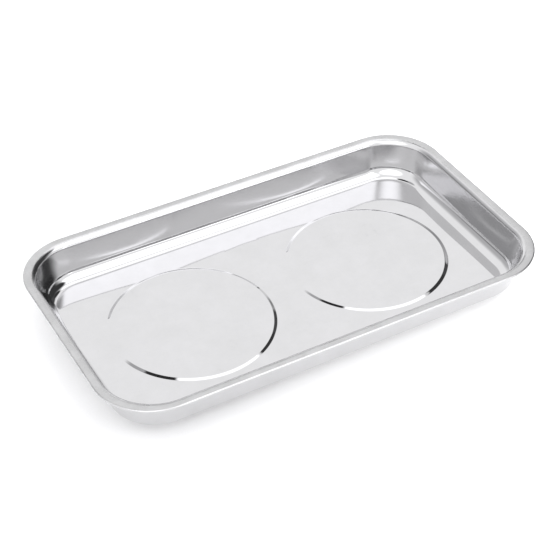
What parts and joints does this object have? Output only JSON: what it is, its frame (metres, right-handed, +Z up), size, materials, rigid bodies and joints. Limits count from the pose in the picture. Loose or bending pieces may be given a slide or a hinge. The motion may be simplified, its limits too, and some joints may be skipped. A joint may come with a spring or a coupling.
{
  "type": "magnetic parts tray",
  "caption": "Shallow rectangular stainless tray with a flat rim and rounded corners, standing on round rubber-covered magnet bases.",
  "frame": {"origin": "centre of the resting plane under the two rubber boots", "axes": "+X along the tray's length, towards the right-hand base; +Y across its width; +Z up, out of the open pan"},
  "size_m": [0.241, 0.1402, 0.0296],
  "materials": {
    "stainless_sheet": "bright polished stainless, faint grain on the rim",
    "boot_rubber": "matt moulded rubber",
    "ferrite": "dull sintered ferrite",
    "zinc_steel": "bright zinc plating",
    "spring_steel": "dark oiled spring steel"
  },
  "bodies": {
    "root": {"tray_pan": "stainless_sheet", "left_weld_stud": "zinc_steel", "left_ring_magnet": "ferrite", "left_backing_plate": "zinc_steel", "left_rubber_boot": "boot_rubber", "left_flat_washer": "zinc_steel", "left_spring_washer": "spring_steel", "left_hex_nut": "zinc_steel", "right_weld_stud": "zinc_steel", "right_ring_magnet": "ferrite", "right_backing_plate": "zinc_steel", "right_rubber_boot": "boot_rubber", "right_flat_washer": "zinc_steel", "right_spring_washer": "spring_steel", "right_hex_nut": "zinc_steel"}
  },
  "joints": []
}
